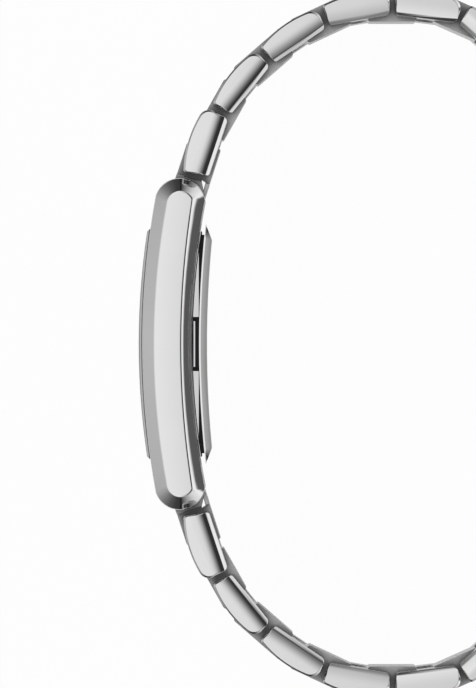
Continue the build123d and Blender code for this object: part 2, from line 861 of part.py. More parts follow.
def make_end_link():
    """End link: a wide part between the lugs and a tongue between the first outer links."""
    tongue_end = end_link_length + end_link_tongue
    near_outer = outer_half_length - outer_pin_spacing / 2
    wide_end = end_link_length - near_outer - end_wide_gap
    wide_z = rail_inner - side_gap
    middle_v = (end_link_outer - end_link_back) / 2
    height = end_link_outer + end_link_back
    wide_face = Pos(wide_end / 2, middle_v) * Rectangle(wide_end, height)
    tongue_face = Pos(tongue_end / 2, middle_v) * Rectangle(tongue_end, height)
    wide_face = round_corner(wide_face, (0, end_link_outer), end_link_round)
    tongue_face = round_corner(tongue_face, (tongue_end, end_link_outer), end_link_round)
    tongue_face = round_corner(tongue_face, (0, end_link_outer), end_link_round)
    link = extrude(wide_face, wide_z, both=True)
    link += rod(end_barrel_radius, (0, 0), (-wide_z, wide_z))
    link += extrude(tongue_face, centre_half_width, both=True)
    slot = [(u * end_link_length, -v * end_link_back) for u, v in end_slot_shares]
    link -= extrude(make_face(Polyline(*slot, close=True)), case_width, both=True)
    every_z = (-half_case_width, half_case_width)
    link -= rod(spring_bar_radius + running_gap, (0, 0), every_z)
    link -= rod(bracelet_pin_radius + running_gap, (end_link_length, 0), every_z)
    return Pos(lug_pin[0], lug_pin[1], 0) * Rot(0, 0, link_headings[0]) * link


# Clasp places: the cover hinge is near the 6 o'clock pivot, the blade hinge near the 12 o'clock one
cover_hinge = (clasp_x - cover_hinge_level, clasp_y - hinge_inset)
blade_hinge_x = clasp_x - (middle_blade_level + bottom_blade_level + blade_thickness) / 2
blade_hinge = (blade_hinge_x, hinge_inset - clasp_y)
fork_root = clasp_y - end_knuckle_radius - clasp_end_gap


def knuckle_pair(radius, place, inner, outer):
    """Two hinge knuckles, one on each side of a gap."""
    upper = rod(radius, place, (inner, outer))
    return upper + mirror(upper, about=Plane.XY)


def make_clasp_cover():
    """Arched cover with side skirts, its hinge knuckles, and the fork for the 12 o'clock half."""
    inner_x = clasp_x + cover_inner
    edge_x = clasp_x + cover_edge
    low = -fork_root
    high = clasp_y - clasp_knuckle_radius - clasp_end_gap
    outline = ThreePointArc((edge_x, low), (clasp_x + cover_crown, (low + high) / 2), (edge_x, high))
    outline += Polyline((edge_x, high), (inner_x, high), (inner_x, low), (edge_x, low))
    cover = extrude(make_face(outline), clasp_half_width, both=True)
    skirt_z = (clasp_half_width - clasp_skirt, clasp_half_width)
    skirt_x = (clasp_x - clasp_skirt_depth, inner_x + seat_gap)
    skirt = block(skirt_x, (low, high), skirt_z)
    cover += skirt + mirror(skirt, about=Plane.XY)
    ear_x = (clasp_x - clasp_knuckle_radius, clasp_x + clasp_knuckle_radius)
    ear_y = (-clasp_y, low + cover_block_length)
    ear_z = (centre_half_width + link_side_gap, clasp_half_width)
    ear = block(ear_x, ear_y, ear_z)
    ear += rod(clasp_knuckle_radius, (clasp_x, -clasp_y), ear_z)
    cover += ear + mirror(ear, about=Plane.XY)
    hinge_z = (hinge_centre_half_width + side_gap, blade_half_width)
    post = block(
        (cover_hinge[0], inner_x + seat_gap),
        (cover_hinge[1] - cover_hinge_radius, cover_hinge[1] + cover_hinge_radius),
        hinge_z,
    )
    cover += post + mirror(post, about=Plane.XY)
    cover += knuckle_pair(cover_hinge_radius, cover_hinge, *hinge_z)
    cover -= rod(hinge_pin_radius + running_gap, cover_hinge, (-blade_half_width, blade_half_width))
    tip_end = ear_z[0] + spring_tip_length
    cover -= rod(spring_tip_radius + running_gap, (clasp_x, -clasp_y), (-tip_end, tip_end))
    hole_x = (clasp_x - button_bottom - running_gap, clasp_x + button_top + running_gap)
    hole_half = button_half_length + running_gap
    hole_y = (button_offset - hole_half, button_offset + hole_half)
    return cover - block(hole_x, hole_y, (-half_case_width, half_case_width))


def make_middle_blade():
    """Middle blade, hinged to the cover at one end and to the bottom blade at the other."""
    x_span = (clasp_x - middle_blade_level - blade_thickness, clasp_x - middle_blade_level)
    wide = (-blade_half_width, blade_half_width)
    slim = (-hinge_centre_half_width, hinge_centre_half_width)
    high = cover_hinge[1] - cover_hinge_radius - clasp_end_gap
    low = blade_hinge[1] + hinge_radius + clasp_end_gap
    blade = block(x_span, (low, high), wide)
    blade += block(x_span, (blade_hinge[1], cover_hinge[1]), slim)
    blade += rod(hinge_radius, blade_hinge, slim)
    blade += rod(cover_hinge_radius, cover_hinge, slim)
    blade -= rod(hinge_pin_radius + seat_gap, blade_hinge, wide)
    return blade - rod(hinge_pin_radius + seat_gap, cover_hinge, wide)


def make_bottom_blade():
    """Bottom blade, which lies against the wrist, with the fork for the 6 o'clock half."""
    x_span = (clasp_x - bottom_blade_level - blade_thickness, clasp_x - bottom_blade_level)
    wide_z = (-blade_half_width, blade_half_width)
    blade = block(x_span, (blade_hinge[1], clasp_y), wide_z)
    fork_z = centre_half_width + link_side_gap
    blade -= block(
        (x_span[0] - overrun, x_span[1] + overrun), (fork_root, clasp_y + overrun), (-fork_z, fork_z)
    )
    gap_z = hinge_centre_half_width + side_gap
    blade -= block(
        (x_span[0] - overrun, x_span[1] + overrun),
        (blade_hinge[1] - overrun, blade_hinge[1] + hinge_radius + clasp_end_gap),
        (-gap_z, gap_z),
    )
    blade += knuckle_pair(hinge_radius, blade_hinge, gap_z, blade_half_width)
    ear = block((x_span[0], clasp_x), (fork_root, clasp_y), (fork_z, blade_half_width))
    ear += rod(clasp_knuckle_radius, (clasp_x, clasp_y), (fork_z, blade_half_width))
    blade += ear + mirror(ear, about=Plane.XY)
    blade -= rod(hinge_pin_radius + running_gap, blade_hinge, wide_z)
    return blade - rod(spring_tip_radius + seat_gap, (clasp_x, clasp_y), wide_z)


def make_clasp_bar():
    """The bar of the 6 o'clock pivot, which belongs to the bottom blade."""
    return spring_bar((clasp_x, clasp_y), centre_half_width - seat_gap, spring_tip_length)


def make_hinge_pins():
    """The two hinge pins of the blades."""
    span = (-blade_half_width + seat_gap, blade_half_width - seat_gap)
    return [rod(hinge_pin_radius, place, span) for place in (blade_hinge, cover_hinge)]


def make_button(side):
    """Push button in a skirt of the cover, kept in by its flange."""
    outer = clasp_half_width + button_proud
    flange_end = clasp_half_width - clasp_skirt - running_gap
    flange_start = flange_end - button_flange
    x_span = (clasp_x - button_bottom, clasp_x + button_top)
    y_span = (button_offset - button_half_length, button_offset + button_half_length)
    flange_y = (y_span[0] - button_flange, y_span[1] + button_flange)
    button = block(x_span, y_span, (flange_start, outer))
    button += block(x_span, flange_y, (flange_start, flange_end))
    return button if side > 0 else mirror(button, about=Plane.XY)


def twelve_side(shapes):
    """Copies for the 12 o'clock half. Each piece is alike on both sides, so a half turn places it."""
    return [Rot(180, 0, 0) * shape for shape in shapes]


def clock_angle(hours):
    """Angle of a hand that goes once round in twelve hours, in degrees from 12 o'clock."""
    return 360 * hours / 12


def make_parts():
    """Every piece by its name, each as a list of solids."""
    pipe_radius = cannon_radius + running_gap + pipe_wall
    bar_half = rail_inner - side_gap - seat_gap
    bar = spring_bar(lug_pin, bar_half, spring_tip_length)
    hour_angle = clock_angle(hour_at_rest + minute_at_rest / 60)
    minute_angle = clock_angle(minute_at_rest / 5)
    parts = {
        "case_middle": [make_case_middle()],
        "crystal": [make_crystal()],
        "crystal_gasket": [make_crystal_gasket()],
        "dial": [make_dial()],
        "hour_markers": make_hour_markers(),
        "hour_hand": [make_hand(hour_hand_front, hour_hand_length, pipe_radius, hour_angle)],
        "minute_hand": [
            make_hand(minute_hand_front, minute_hand_length, cannon_radius, minute_angle)
        ],
        "centre_wheel": [make_centre_wheel()],
        "hour_wheel": [make_hour_wheel()],
        "minute_wheel": [make_minute_wheel()],
        "main_plate": [make_main_plate()],
        "train_bridge": [make_train_bridge()],
        "rotor": [make_rotor()],
        "battery": [make_battery()],
        "coil": [make_coil()],
        "circuit_board": [make_circuit_board()],
        "movement_ring": [make_movement_ring()],
        "winding_stem": [make_winding_stem()],
        "setting_lever": [make_setting_lever()],
        "crown": [make_crown()],
        "case_back": [make_case_back()],
        "back_gasket": [make_back_gasket()],
        "lug_spring_bars": [bar] + twelve_side([bar]),
        "clasp_cover": [make_clasp_cover()],
        "clasp_middle_blade": [make_middle_blade()],
        "clasp_bottom_blade": [make_bottom_blade(), make_clasp_bar()],
        "clasp_hinge_pins": make_hinge_pins(),
        "clasp_button_left": [make_button(1)],
        "clasp_button_right": [make_button(-1)],
        "clasp_spring_bar": twelve_side(
            [spring_bar((clasp_x, clasp_y), centre_half_width - seat_gap, 0)]
        ),
        "end_link_six": [make_end_link()],
    }
    for row in range(1, rows + 1):
        extra = first_link_extra if row == 1 else 0
        parts[f"outer_links_six_{row}"] = make_outer_row(2 * row - 1, extra)
        parts[f"centre_link_six_{row}"] = [make_centre_link(2 * row)]
    for name in [name for name in parts if "_six" in name]:
        parts[name.replace("_six", "_twelve")] = twelve_side(parts[name])
    return parts


parts = make_parts()
bounds = Compound(children=[solid for solids in parts.values() for solid in solids]).bounding_box()
to_rest = Pos(-(bounds.min.X + bounds.max.X) / 2, -(bounds.min.Y + bounds.max.Y) / 2, -bounds.min.Z)

os.makedirs("parts", exist_ok=True)
for name, solids in parts.items():
    placed = [solid for shape in solids for solid in (to_rest * shape).solids()]
    export_step(placed[0] if len(placed) == 1 else Compound(children=placed), f"parts/{name}.step")
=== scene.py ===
import json
import math

import bpy
from bpy.props import FloatProperty, FloatVectorProperty, IntProperty, PointerProperty
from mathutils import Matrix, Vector

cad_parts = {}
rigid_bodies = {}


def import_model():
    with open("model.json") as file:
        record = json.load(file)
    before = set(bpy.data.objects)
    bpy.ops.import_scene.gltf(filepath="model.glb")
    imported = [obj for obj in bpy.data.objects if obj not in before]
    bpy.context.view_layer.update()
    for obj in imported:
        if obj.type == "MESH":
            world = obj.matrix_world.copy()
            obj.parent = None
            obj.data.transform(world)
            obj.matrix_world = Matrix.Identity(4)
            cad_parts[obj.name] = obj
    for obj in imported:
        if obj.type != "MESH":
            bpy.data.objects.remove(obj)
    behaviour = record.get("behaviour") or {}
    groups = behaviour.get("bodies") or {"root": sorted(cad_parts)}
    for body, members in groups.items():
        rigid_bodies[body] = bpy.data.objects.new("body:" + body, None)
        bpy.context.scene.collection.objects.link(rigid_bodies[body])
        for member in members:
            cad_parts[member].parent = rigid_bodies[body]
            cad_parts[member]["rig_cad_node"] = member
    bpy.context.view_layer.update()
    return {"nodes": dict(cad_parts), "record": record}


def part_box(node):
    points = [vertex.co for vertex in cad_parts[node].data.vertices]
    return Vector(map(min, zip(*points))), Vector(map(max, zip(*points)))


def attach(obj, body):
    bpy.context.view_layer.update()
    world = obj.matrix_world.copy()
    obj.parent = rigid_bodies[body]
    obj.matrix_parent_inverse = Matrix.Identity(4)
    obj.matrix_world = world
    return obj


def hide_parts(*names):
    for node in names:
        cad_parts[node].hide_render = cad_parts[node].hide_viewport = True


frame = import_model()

bl_info = {
    "name": "Rectangular Wristwatch",
    "version": (1, 0, 0),
    "blender": (4, 5, 0),
    "location": "View3D > Sidebar > Watch",
    "description": "Dresses the packed wristwatch in steel, glass and dial finishes, in a tent",
    "category": "Object",
}

MM = 0.001
MICRON = 1e-6

nodes = frame["nodes"]
body_of = {
    node: body
    for body, members in frame["record"]["behaviour"]["bodies"].items()
    for node in members
}

# The watch runs from the dial, at low X, to the clasp. Its pads face up to the camera
case_low, case_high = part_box("case_middle")
case_centre = (case_low + case_high) / 2
case_depth = case_high.x - case_low.x
pad_height = case_high.z
dial_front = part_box("dial")[0].x

# Arcs, seen along Z, of the front of the rails and of the front of the back plate
rail_front_radius = 86.3 * MM
rail_front_centre = case_low.x + rail_front_radius
plate_front_radius = 115 * MM
plate_front_inset = 5.97 * MM
plate_front_centre = case_low.x + plate_front_inset + plate_front_radius

# Arc of the middle line of the case's flat flanks, and their width
flank_radius = 105.5 * MM
flank_centre = case_low.x + flank_radius
flank_inset = case_depth * 0.3
flank_width = 5.4 * MM


def grey(level):
    return (level, level, level, 1.0)


# ---- properties ----

def length(name, description, default):
    return FloatProperty(
        name=name, description=description, default=default, min=0, precision=5,
        unit="LENGTH", subtype="DISTANCE",
    )


def share(name, description, default):
    return FloatProperty(
        name=name, description=description, default=default, min=0, max=1, subtype="FACTOR",
    )


def colour(name, description, default):
    return FloatVectorProperty(
        name=name, description=description, default=default, min=0, max=1, size=4,
        subtype="COLOR",
    )


class WatchFinishes(bpy.types.PropertyGroup):
    """Colours and polish of the watch"""
    case_steel: colour("Case steel", "Colour of the polished case", grey(0.9))
    link_steel: colour("Link steel", "Colour of the polished bracelet", grey(0.9))
    # The flank colour is darker than the links: partly the satin sides' own tone, partly painted
    # shade between the links
    flank_steel_and_shade: colour("Flank steel and shade", "Colour of the flat sides between the links", grey(0.64))
    # The next colour is painted shade: near black where the gap round the case back lies in shade
    recess_shade: colour("Recess shade", "Colour of the narrow gap round the case back", grey(0.03))
    satin_steel: colour("Satin steel", "Colour of the brushed steel", (0.78, 0.78, 0.79, 1))
    polish: share("Polish roughness", "Roughness of the polished steel", 0.06)
    satin: share("Satin roughness", "Roughness of the brushed steel", 0.2)
    glass: colour("Crystal", "Tint of the crystal", (0.97, 0.99, 0.99, 1))
    ground_glass: colour("Ground glass", "Colour of the crystal's ground edge", grey(0.9))
    rubber: colour("Gaskets", "Colour of the two gaskets", grey(0.04))
    silver: colour("Dial", "Colour of the silvered dial", (0.97, 0.97, 0.94, 1))
    ink: colour("Minute track", "Colour of the printed track", (0.03, 0.03, 0.035, 1))
    marker: colour("Hour markers", "Colour of the hour batons", (0.09, 0.09, 0.1, 1))
    blued: colour("Hands", "Colour of the blued hands", (0.02, 0.05, 0.24, 1))
    brass: colour("Brass", "Colour of the wheels and bridges", (0.8, 0.6, 0.28, 1))
    cell: colour("Cell", "Colour of the button cell", (0.72, 0.72, 0.7, 1))
    copper: colour("Copper", "Colour of the coil's wire", (0.75, 0.33, 0.14, 1))
    board: colour("Board", "Colour of the circuit board", (0.02, 0.16, 0.07, 1))
    plastic: colour("Plastic", "Colour of the movement ring", (0.82, 0.82, 0.78, 1))


class WatchSizes(bpy.types.PropertyGroup):
    """Sizes of what the scene adds to the watch"""
    edge: length("Edge", "Rounding of the steel edges", 0.06 * MM)
    case_edge: length("Case edge", "Rounding of the edges of the case", 0.12 * MM)
    fine_edge: length("Fine edge", "Rounding of the edges of hands and small parts", 0.03 * MM)
    baton_edge: length("Baton edge", "Facet along the hour batons", 0.12 * MM)
    track_height: length("Track height", "Half length of the minute track", 7.9 * MM)
    track_width: length("Track width", "Half width of the minute track", 3.75 * MM)
    track_band: length("Track band", "Distance between the track's two lines", 0.45 * MM)
    track_line: length("Track line", "Width of the lines of the minute track", 0.09 * MM)
    track_relief: length("Track relief", "Thickness of the printed ink", 0.012 * MM)
    ground_edge: length("Ground edge", "Width of the crystal's ground border", 0.35 * MM)
    # The next size is the height of the painted shadow at the foot of the crystal's ground side,
    # just above the case
    glass_shadow_band: length("Glass shadow band", "Height of the dark joint under the crystal", 0.09 * MM)
    # Above the next height the crystal's ground side is painted darker, as shade on its facet
    glass_facet: length("Glass facet", "Height at which the crystal's facet begins", 0.24 * MM)
    pad_depth: length("Pad depth", "How far below the pads the flanks begin", 0.7 * MM)
    neck_depth: length("Neck depth", "How far the gap's bottom lies in its gasket", 0.35 * MM)
    # The next size is how far the ambient occlusion looks for links when it paints shade on the
    # flanks
    painted_shade_reach: length("Painted shade reach", "How far off links still darken the flanks", 1.6 * MM)
    coil_wire: length("Coil wire", "Thickness of the coil's wire", 0.08 * MM)
    plate_line: length("Plate line", "Width of the line along the back plate", 0.17 * MM)
    plate_line_slope: FloatProperty(
        name="Plate line slope", description="Slope of the line along the back plate",
        default=0.55, min=0,
    )
    camber: FloatProperty(
        name="Camber", description="Tilt of the case flanks at their edges",
        default=0.026, min=0, unit="ROTATION",
    )


class WatchStage(bpy.types.PropertyGroup):
    """Studio round the watch"""
    tent_radius: length("Tent radius", "Radius of the light tent", 0.4)
    tent_segments: IntProperty(
        name="Tent segments", description="Segments of the light tent", default=48, min=12,
    )
    floor_size: length("Floor size", "Width of the floor", 3.0)
    floor_glow: share("Floor glow", "How far the floor shows as plain white", 0.97)
    floor_reflected: share("Reflected floor", "How white the floor shows in the steel", 0.25)
    camera_distance: length("Camera distance", "Height of the camera above the pads", 1.2)
    camera_side: FloatProperty(
        name="Camera side", description="Place of the camera along X",
        default=-11.15 * MM, precision=4, unit="LENGTH",
    )
    view_height: length("View height", "Height of the picture at the pads", 72.24 * MM)


def finishes():
    return bpy.context.scene.watch_finishes


def sizes():
    return bpy.context.scene.watch_sizes


def stage_values():
    return bpy.context.scene.watch_stage


# ---- materials ----

# Waves per metre, along X, Y and Z, of the patterns that run one way
hairline_waves = (9000, 900, 900)
brush_waves = (1500, 1500, 26000)
weave_waves = (9000, 9000, 2000)


class Wire:
    """An output of a shader node that takes part in sums like a number."""

    def __init__(self, finish, socket):
        self.finish = finish
        self.socket = socket

    def __add__(self, other):
        return self.finish.maths("ADD", self, other)

    def __radd__(self, other):
        return self.finish.maths("ADD", other, self)

    def __sub__(self, other):
        return self.finish.maths("SUBTRACT", self, other)

    def __rsub__(self, other):
        return self.finish.maths("SUBTRACT", other, self)

    def __mul__(self, other):
        return self.finish.maths("MULTIPLY", self, other)

    def __rmul__(self, other):
        return self.finish.maths("MULTIPLY", other, self)

    def __truediv__(self, other):
        return self.finish.maths("DIVIDE", self, other)

    def __pow__(self, other):
        return self.finish.maths("POWER", self, other)

    def __abs__(self):
        return self.finish.maths("ABSOLUTE", self)

    def held(self, low, high):
        """The value itself between low and high, and the nearer of the two beyond them."""
        return self.finish.maths("MINIMUM", self.finish.maths("MAXIMUM", self, low), high)

    def step(self, low, high):
        """Zero below low, one above high, and smooth between."""
        return self.finish.node(
            "ShaderNodeMapRange",
            {"interpolation_type": "SMOOTHSTEP"},
            {"Value": self, "From Min": low, "From Max": high},
        )


class Finish:
    """The node tree of one material."""

    def __init__(self, tree):
        self.tree = tree
        self.tree.nodes.clear()

    def node(self, kind, settings=None, inputs=None, output=0):
        """Adds a node, sets it, fills its sockets with values or links, and returns one output."""
        made = self.tree.nodes.new(kind)
        for name, value in (settings or {}).items():
            if name == "stops":
                self.set_stops(made.color_ramp, value)
            else:
                setattr(made, name, value)
        pairs = inputs.items() if isinstance(inputs, dict) else enumerate(inputs or ())
        for key, value in pairs:
            socket = self.find(made.inputs, key)
            if isinstance(value, Wire):
                self.tree.links.new(value.socket, socket)
            else:
                socket.default_value = value
        return Wire(self, self.find(made.outputs, output)) if made.outputs else None

    def find(self, sockets, key):
        """The socket of a number or a name, or else of an identifier, where names repeat."""
        if isinstance(key, int) or key in sockets:
            return sockets[key]
        return next(socket for socket in sockets if socket.identifier == key)

    def set_stops(self, ramp, stops):
        """Fills a colour ramp with places and levels of grey."""
        while len(ramp.elements) < len(stops):
            ramp.elements.new(1.0)
        for element, (place, level) in zip(ramp.elements, stops):
            element.position = place
            element.color = grey(level)

    def maths(self, operation, *values):
        return self.node("ShaderNodeMath", {"operation": operation}, values)

    def ramp(self, value, low, high, stops):
        """Level that follows a table of (value, level), from low to high."""
        spread = [((place - low) / (high - low), level) for place, level in stops]
        return self.node("ShaderNodeValToRGB", {"stops": spread}, [(value - low) / (high - low)])

    def place(self):
        """Object coordinates, in metres."""
        return self.node("ShaderNodeTexCoord", output="Object")

    def axes(self, vector):
        """The three parts of a vector."""
        split = self.node("ShaderNodeSeparateXYZ", {}, [vector]).socket.node
        return [Wire(self, socket) for socket in split.outputs]

    def vector(self, x, y, z):
        return self.node("ShaderNodeCombineXYZ", {}, (x, y, z))

    def noise(self, vector, scale=1.0, detail=2.0, roughness=0.5):
        return self.node("ShaderNodeTexNoise", {}, {
            "Vector": vector, "Scale": scale, "Detail": detail, "Roughness": roughness,
        })

    def stretched(self, vector, scale):
        """Coordinates scaled along each axis, for lines in one direction."""
        return self.node("ShaderNodeMapping", {}, {"Vector": vector, "Scale": scale})

    def blend(self, factor, first, second):
        """Colour that goes from the first to the second."""
        sockets = {"Factor_Float": factor, "A_Color": first, "B_Color": second}
        return self.node("ShaderNodeMix", {"data_type": "RGBA"}, sockets, "Result_Color")

    def bump(self, height):
        """Normal of a relief whose height is in metres."""
        return self.node(
            "ShaderNodeBump", {}, {"Height": height, "Distance": 1.0, "Strength": 1.0}
        )

    def principled(self, **sockets):
        named = {name.replace("_", " "): value for name, value in sockets.items()}
        return self.node("ShaderNodeBsdfPrincipled", {}, named)

    def surface(self, shader):
        self.node("ShaderNodeOutputMaterial", {}, {"Surface": shader})


def darker(tint, factor):
    return [channel * factor for channel in tint[:3]] + [1.0]


def arc_distance(x, y, centre):
    """Distance from the axis of an arc, which crosses X at its centre."""
    return ((x - centre) ** 2 + y ** 2) ** 0.5


def material(name, build):
    """The material of a name, made by its function on first use."""
    made = bpy.data.materials.get(name)
    if made is None:
        made = bpy.data.materials.new(name)
        made.use_nodes = True
        build(Finish(made.node_tree))
    return made


def steel(finish, tint, roughness, hairline, relief=None, painted_light=None):
    """Polished steel: faint hairlines along the watch, and a slow cloud of polish.

    Hairline is the depth of the lines in the polish, relief a height in metres that is added
    to them, and the painted light, shade and highlight painted into the base colour, goes from
    0, where the steel is painted nearly black, to 1.
    """
    place = finish.place()
    lines = finish.noise(finish.stretched(place, hairline_waves), detail=3.0)
    cloud = finish.noise(place, 260)
    height = cloud * (0.4 * MICRON) + lines * (hairline * 0.4 * MICRON)
    if relief is not None:
        height = height + relief
    base = finish.blend(cloud, darker(tint, 0.96), tint)
    if painted_light is not None:
        base = finish.blend(painted_light, darker(tint, 0.1), base)
    finish.surface(finish.principled(
        Base_Color=base,
        Metallic=1.0,
        Roughness=roughness + hairline * (lines - 0.5) + 0.02 * cloud,
        Normal=finish.bump(height),
    ))


def case_polish(finish):
    """Mirror-polished case, whose flat flanks are very slightly domed across their width."""
    x, y, _ = finish.axes(finish.place())
    across = arc_distance(x, y, flank_centre) - (flank_radius - flank_inset)
    camber = across ** 2 * (-sizes().camber / flank_width)
    steel(finish, finishes().case_steel, finishes().polish, 0.015, camber)


def link_polish(finish):
    """Polished links, a little less even than the case."""
    steel(finish, finishes().link_steel, finishes().polish + 0.02, 0.03)


def back_polish(finish):
    """Polished case back, whose plate has a bevelled line along its front edge, bright from its
    slope and from painted highlight, with painted shade on the wall before it and the plate past
    it.
    """
    x, y, _ = finish.axes(finish.place())
    depth = plate_front_radius - arc_distance(x, y, plate_front_centre)
    line = sizes().plate_line
    relief = depth.held(0.0, line) * -sizes().plate_line_slope
    # Painted shade and highlight: the base colour stays full on the bevelled line, is darker on
    # the case wall before it and darker still on the plate past it
    painted_highlight_mask = depth.step(-0.02 * MM, 0.0)
    plate_shade_mask = depth.step(line, line + 0.03 * MM)
    wall_painted_shade, line_painted_highlight, plate_painted_shade = 0.83, 1.0, 0.66
    highlight_rise, shade_fall = line_painted_highlight - wall_painted_shade, line_painted_highlight - plate_painted_shade
    painted_light = wall_painted_shade + highlight_rise * painted_highlight_mask - shade_fall * plate_shade_mask
    steel(finish, finishes().case_steel, finishes().polish + 0.03, 0.03, relief, painted_light)


def flank_satin_painted_shade(finish):
    """Satin inner sides of the links, which no wheel reaches, with painted shade in the colour,
    darkest deep in the gaps.
    """
    reach = {"Distance": sizes().painted_shade_reach}
    painted_gap_shade = finish.node("ShaderNodeAmbientOcclusion", {"samples": 8}, reach, "AO")
    # Painted shade: ambient occlusion darkens the flanks' base colour deep in the gaps between
    # links
    steel(finish, finishes().flank_steel_and_shade, 0.22, 0.08, painted_light=painted_gap_shade.step(0.32, 1.0))


def painted_recess_shade(finish):
    """Unpolished bottom of a narrow gap, coloured near black as painted shade."""
    steel(finish, finishes().recess_shade, 0.5, 0.1)


def brushed_steel(finish):
    """Steel brushed along the bracelet."""
    brushed = finish.stretched(finish.place(), brush_waves)
    lines = finish.noise(brushed, detail=4.0, roughness=0.6)
    tint = finishes().satin_steel
    finish.surface(finish.principled(
        Base_Color=finish.blend(lines, darker(tint, 0.88), tint),
        Metallic=1.0,
        Roughness=finishes().satin + 0.14 * lines,
        Normal=finish.bump(lines * (1.2 * MICRON)),
    ))


def grained(tint, roughness, metallic, scale, depth):
    """Function that makes a fine-grained finish for rubber, plastic and plain metal."""
    def build(finish):
        place = finish.place()
        grain = finish.noise(place, scale, detail=4.0)
        patches = finish.noise(place, scale / 12)
        finish.surface(finish.principled(
            Base_Color=finish.blend(patches, darker(tint, 0.84), tint),
            Metallic=metallic,
            Roughness=roughness + 0.16 * (grain - 0.5),
            Normal=finish.bump(grain * depth),
        ))
    return build


def crystal_glass(finish):
    """Clear crystal with ground sides, with painted shadow in a band just above the case and
    painted shade on their facet.
    """
    low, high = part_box("crystal")
    middle = (low + high) / 2
    place = finish.place()
    x, y, z = finish.axes(place)
    haze = finish.noise(place, 300)
    clear = finish.principled(
        Base_Color=finish.blend(haze, finishes().glass, grey(1.0)),
        Roughness=0.01 + 0.02 * haze,
        Transmission_Weight=1.0,
        IOR=1.5,
    )
    grain = finish.noise(place, 30000, detail=3.0)
    above_case = arc_distance(x, y, rail_front_centre) - rail_front_radius
    tint, soft = finishes().ground_glass, 0.05 * MM
    shadow_band, facet = sizes().glass_shadow_band, sizes().glass_facet
    # Painted shadow: near black in a band just above the case, then the ground tint, then painted
    # shade, half as light, on the facet
    side_with_painted_shade = finish.blend(above_case.step(shadow_band, shadow_band + soft), darker(tint, 0.22), tint)
    side_with_painted_shade = finish.blend(above_case.step(facet, facet + soft), side_with_painted_shade, darker(tint, 0.5))
    ground = finish.principled(
        Base_Color=finish.blend(grain * 0.2, side_with_painted_shade, darker(tint, 0.4)),
        Roughness=0.4 + 0.1 * grain,
        Normal=finish.bump(grain * MICRON),
    )
    half = high - middle
    border = sizes().ground_edge
    at_side = abs(z - middle.z).step(half.z - border, half.z - border * 0.8)
    at_end = abs(y - middle.y).step(half.y - border, half.y - border * 0.8)
    on_border = finish.maths("MAXIMUM", at_side, at_end)
    finish.surface(finish.node("ShaderNodeMixShader", {}, (on_border, clear, ground)))


def sunray_dial(finish):
    """Silvered dial brushed in rays from its centre."""
    _, y, z = finish.axes(finish.place())
    angle = finish.maths("ARCTAN2", y, z - case_centre.z)
    radius = (y ** 2 + (z - case_centre.z) ** 2) ** 0.5
    rays = finish.noise(finish.vector(angle * 90, radius * 60, 0.0), detail=3.0, roughness=0.6)
    tint = finishes().silver
    finish.surface(finish.principled(
        Base_Color=finish.blend(rays, darker(tint, 0.93), tint),
        Metallic=0.05,
        Roughness=0.3 + 0.14 * rays,
        Normal=finish.bump(rays * (1.5 * MICRON)),
    ))


def circular_brass(finish):
    """Gilt wheels and plates with a fine turned grain."""
    place = finish.place()
    x, y, z = finish.axes(place)
    radius = (y ** 2 + (z - case_centre.z) ** 2) ** 0.5
    rings = finish.noise(finish.vector(radius * 9000, x * 400, 0.0))
    cloud = finish.noise(place, 400)
    tint = finishes().brass
    finish.surface(finish.principled(
        Base_Color=finish.blend(cloud, darker(tint, 0.8), tint),
        Metallic=1.0,
        Roughness=0.24 + 0.14 * rings,
        Normal=finish.bump(rings * (1.5 * MICRON)),
    ))


def wound_copper(finish):
    """Enamelled wire wound close on the coil's core."""
    x, y, z = finish.axes(finish.place())
    wave = finish.maths("SINE", y * (2 * math.pi / sizes().coil_wire))
    drift = finish.noise(finish.vector(y * 4000, x * 500, z * 500))
    tint = finishes().copper
    finish.surface(finish.principled(
        # Darker in the grooves between the turns of wire: painted shade
        Base_Color=finish.blend(wave * 0.3 + 0.3 + drift * 0.4, darker(tint, 0.45), tint),
        Metallic=0.8,
        Roughness=0.3 + 0.1 * drift,
        Normal=finish.bump(wave * (10 * MICRON)),
    ))


def green_board(finish):
    """Circuit board under lacquer, with plated tracks."""
    place = finish.place()
    pads = {"Vector": place, "Scale": 1500}
    from_pad = finish.node("ShaderNodeTexVoronoi", {"distance": "MANHATTAN"}, pads)
    tracks = 1 - from_pad.step(0.1, 0.16)
    weave = finish.noise(finish.stretched(place, weave_waves))
    tint = finishes().board
    lacquer = finish.blend(weave, darker(tint, 0.8), tint)
    finish.surface(finish.principled(
        Base_Color=finish.blend(tracks * 0.8, lacquer, finishes().brass),
        Roughness=0.32 + 0.1 * weave,
        Normal=finish.bump(tracks * (8 * MICRON)),
    ))


